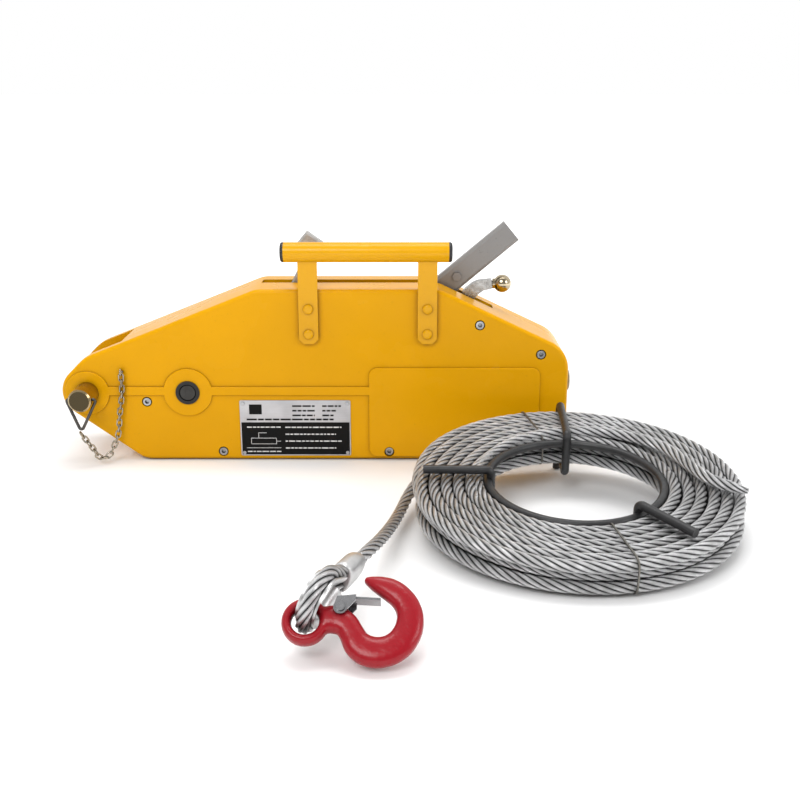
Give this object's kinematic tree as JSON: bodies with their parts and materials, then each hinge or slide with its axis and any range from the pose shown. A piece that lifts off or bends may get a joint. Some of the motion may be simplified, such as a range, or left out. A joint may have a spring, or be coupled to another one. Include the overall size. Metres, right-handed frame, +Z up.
{
  "type": "hand-operated wire rope puller",
  "caption": "Lever-operated wire rope pulling hoist: cast casing with carry handle, forward, reverse and release levers, anchor pin, and a coiled wire rope with thimble eye and latched hook.",
  "frame": {"origin": "on the floor under the casing, at the base face, on the casing's middle thickness, 268 mm from the casing's end face at the rope guide", "axes": "+X from the anchor pin to the rope guide; +Z up; -Y towards the casing side that carries the nameplate and carry handle"},
  "size_m": [0.6687, 0.5337, 0.2499],
  "materials": {
    "casing_yellow": "glossy golden-yellow enamel over cast aluminium",
    "bright_screws": "zinc-plated socket screws",
    "plate_metal": "satin aluminium with black printed fields",
    "handle_yellow": "glossy golden-yellow enamel on steel",
    "black_plastic": "matt black",
    "guide_brass": "dull machined brass",
    "pin_zinc": "yellow zinc plate",
    "clip_steel": "dark spring steel",
    "chain_nickel": "nickel plate",
    "stud_steel": "dark oiled steel",
    "black_rubber": "matt black rubber",
    "lever_grey": "satin grey enamel",
    "mech_steel": "oiled machined steel",
    "bush_bronze": "sintered bronze",
    "lever_cast": "rough grey casting",
    "lever_zinc": "rough cast, zinc-plated",
    "knob_brass": "polished brass",
    "rope_wire": "galvanised stranded wire",
    "reel_black": "gloss black round bar",
    "tie_wire": "soft iron wire",
    "ferrule_alu": "matt pressed aluminium",
    "thimble_zinc": "zinc-plated pressed steel",
    "hook_red": "gloss red enamel over forged steel",
    "latch_zinc": "zinc-plated pressed steel"
  },
  "bodies": {
    "machine": {"main_casing": "casing_yellow", "side_cover": "casing_yellow", "casing_screws": "bright_screws", "casing_nuts": "bright_screws", "nameplate": "plate_metal", "nameplate_rivets": "bright_screws", "handle_straps": "handle_yellow", "carry_tube": "handle_yellow", "tube_caps": "black_plastic", "handle_rivets": "handle_yellow", "rope_guide": "guide_brass", "chain_eye": "chain_nickel", "retaining_chain": "chain_nickel", "side_studs": "stud_steel", "stud_rings": "black_rubber", "shaft_bushes": "bush_bronze", "rope_coil": "rope_wire", "rope_reel": "reel_black", "binding_wires": "tie_wire", "rope_tail": "rope_wire", "rope_end": "rope_wire", "ferrule": "ferrule_alu", "rope_eye": "rope_wire", "thimble": "thimble_zinc"},
    "forward_lever": {"forward_lever": "lever_grey", "crank_cheeks": "mech_steel", "lever_shaft": "mech_steel", "crank_pins": "mech_steel", "shear_pin": "stud_steel"},
    "front_jaw_set": {"front_jaw_plates": "mech_steel", "front_lower_jaw": "mech_steel", "front_lower_jaw_pins": "mech_steel"},
    "front_upper_jaw": {"front_upper_jaw": "mech_steel", "front_upper_jaw_pins": "mech_steel"},
    "rear_jaw_set": {"rear_jaw_plates": "mech_steel", "rear_lower_jaw": "mech_steel", "rear_lower_jaw_pins": "mech_steel"},
    "rear_upper_jaw": {"rear_upper_jaw": "mech_steel", "rear_upper_jaw_pins": "mech_steel"},
    "reverse_lever": {"reverse_lever": "lever_cast", "reverse_shaft": "mech_steel"},
    "release_lever": {"release_lever": "lever_zinc", "release_shaft": "mech_steel", "release_cam": "mech_steel", "release_knob": "knob_brass"},
    "anchor_pin": {"anchor_pin": "pin_zinc", "spring_clip": "clip_steel"},
    "hook": {"hook": "hook_red", "latch_pin": "latch_zinc"},
    "latch": {"latch": "latch_zinc"}
  },
  "joints": [
    {"name": "forward_lever_swing", "type": "hinge", "parent": "machine", "child": "forward_lever", "pos_m": [0.048, 0.008, 0.106], "axis": [0, -1, 0], "range_deg": [0, 55]},
    {"name": "front_jaw_travel", "type": "slide", "parent": "machine", "child": "front_jaw_set", "axis": [1, 0, 0], "range_m": [0, 0.0482]},
    {"name": "rear_jaw_travel", "type": "slide", "parent": "machine", "child": "rear_jaw_set", "axis": [-1, 0, 0], "range_m": [0, 0.0482]},
    {"name": "release_lever_swing", "type": "hinge", "parent": "machine", "child": "release_lever", "pos_m": [0.138, 0.008, 0.146], "axis": [0, 1, 0], "range_deg": [0, 18], "stiffness_Nm_per_rad": 2, "springref_deg": -8.59},
    {"name": "front_jaw_lift", "type": "slide", "parent": "front_jaw_set", "child": "front_upper_jaw", "axis": [0, 0, 1], "range_m": [0, 0.0024]},
    {"name": "rear_jaw_lift", "type": "slide", "parent": "rear_jaw_set", "child": "rear_upper_jaw", "axis": [0, 0, 1], "range_m": [0, 0.0024]},
    {"name": "reverse_lever_swing", "type": "hinge", "parent": "machine", "child": "reverse_lever", "pos_m": [-0.03, 0.008, 0.098], "axis": [0, 1, 0], "range_deg": [-18, 0]},
    {"name": "anchor_pin_play", "type": "slide", "parent": "machine", "child": "anchor_pin", "axis": [0, 1, 0], "range_m": [0, 0.021], "deforming": ["retaining_chain"]},
    {"name": "hook_swing", "type": "hinge", "parent": "machine", "child": "hook", "pos_m": [0.0228, -0.4549, 0.0272], "axis": [0, -0.6428, 0.766], "range_deg": [0, 16]},
    {"name": "latch_swing", "type": "hinge", "parent": "hook", "child": "latch", "pos_m": [0.0478, -0.44877, 0.03234], "axis": [0, -0.6428, 0.766], "range_deg": [-32, 0], "stiffness_Nm_per_rad": 0.02, "springref_deg": 20.05}
  ],
  "couplings": [
    {"joint": "front_jaw_travel", "follows": "forward_lever_swing", "m_per_rad": 0.05},
    {"joint": "rear_jaw_travel", "follows": "forward_lever_swing", "m_per_rad": 0.05},
    {"joint": "front_jaw_lift", "follows": "release_lever_swing", "m_per_rad": 0.0076},
    {"joint": "rear_jaw_lift", "follows": "release_lever_swing", "m_per_rad": 0.0076}
  ]
}
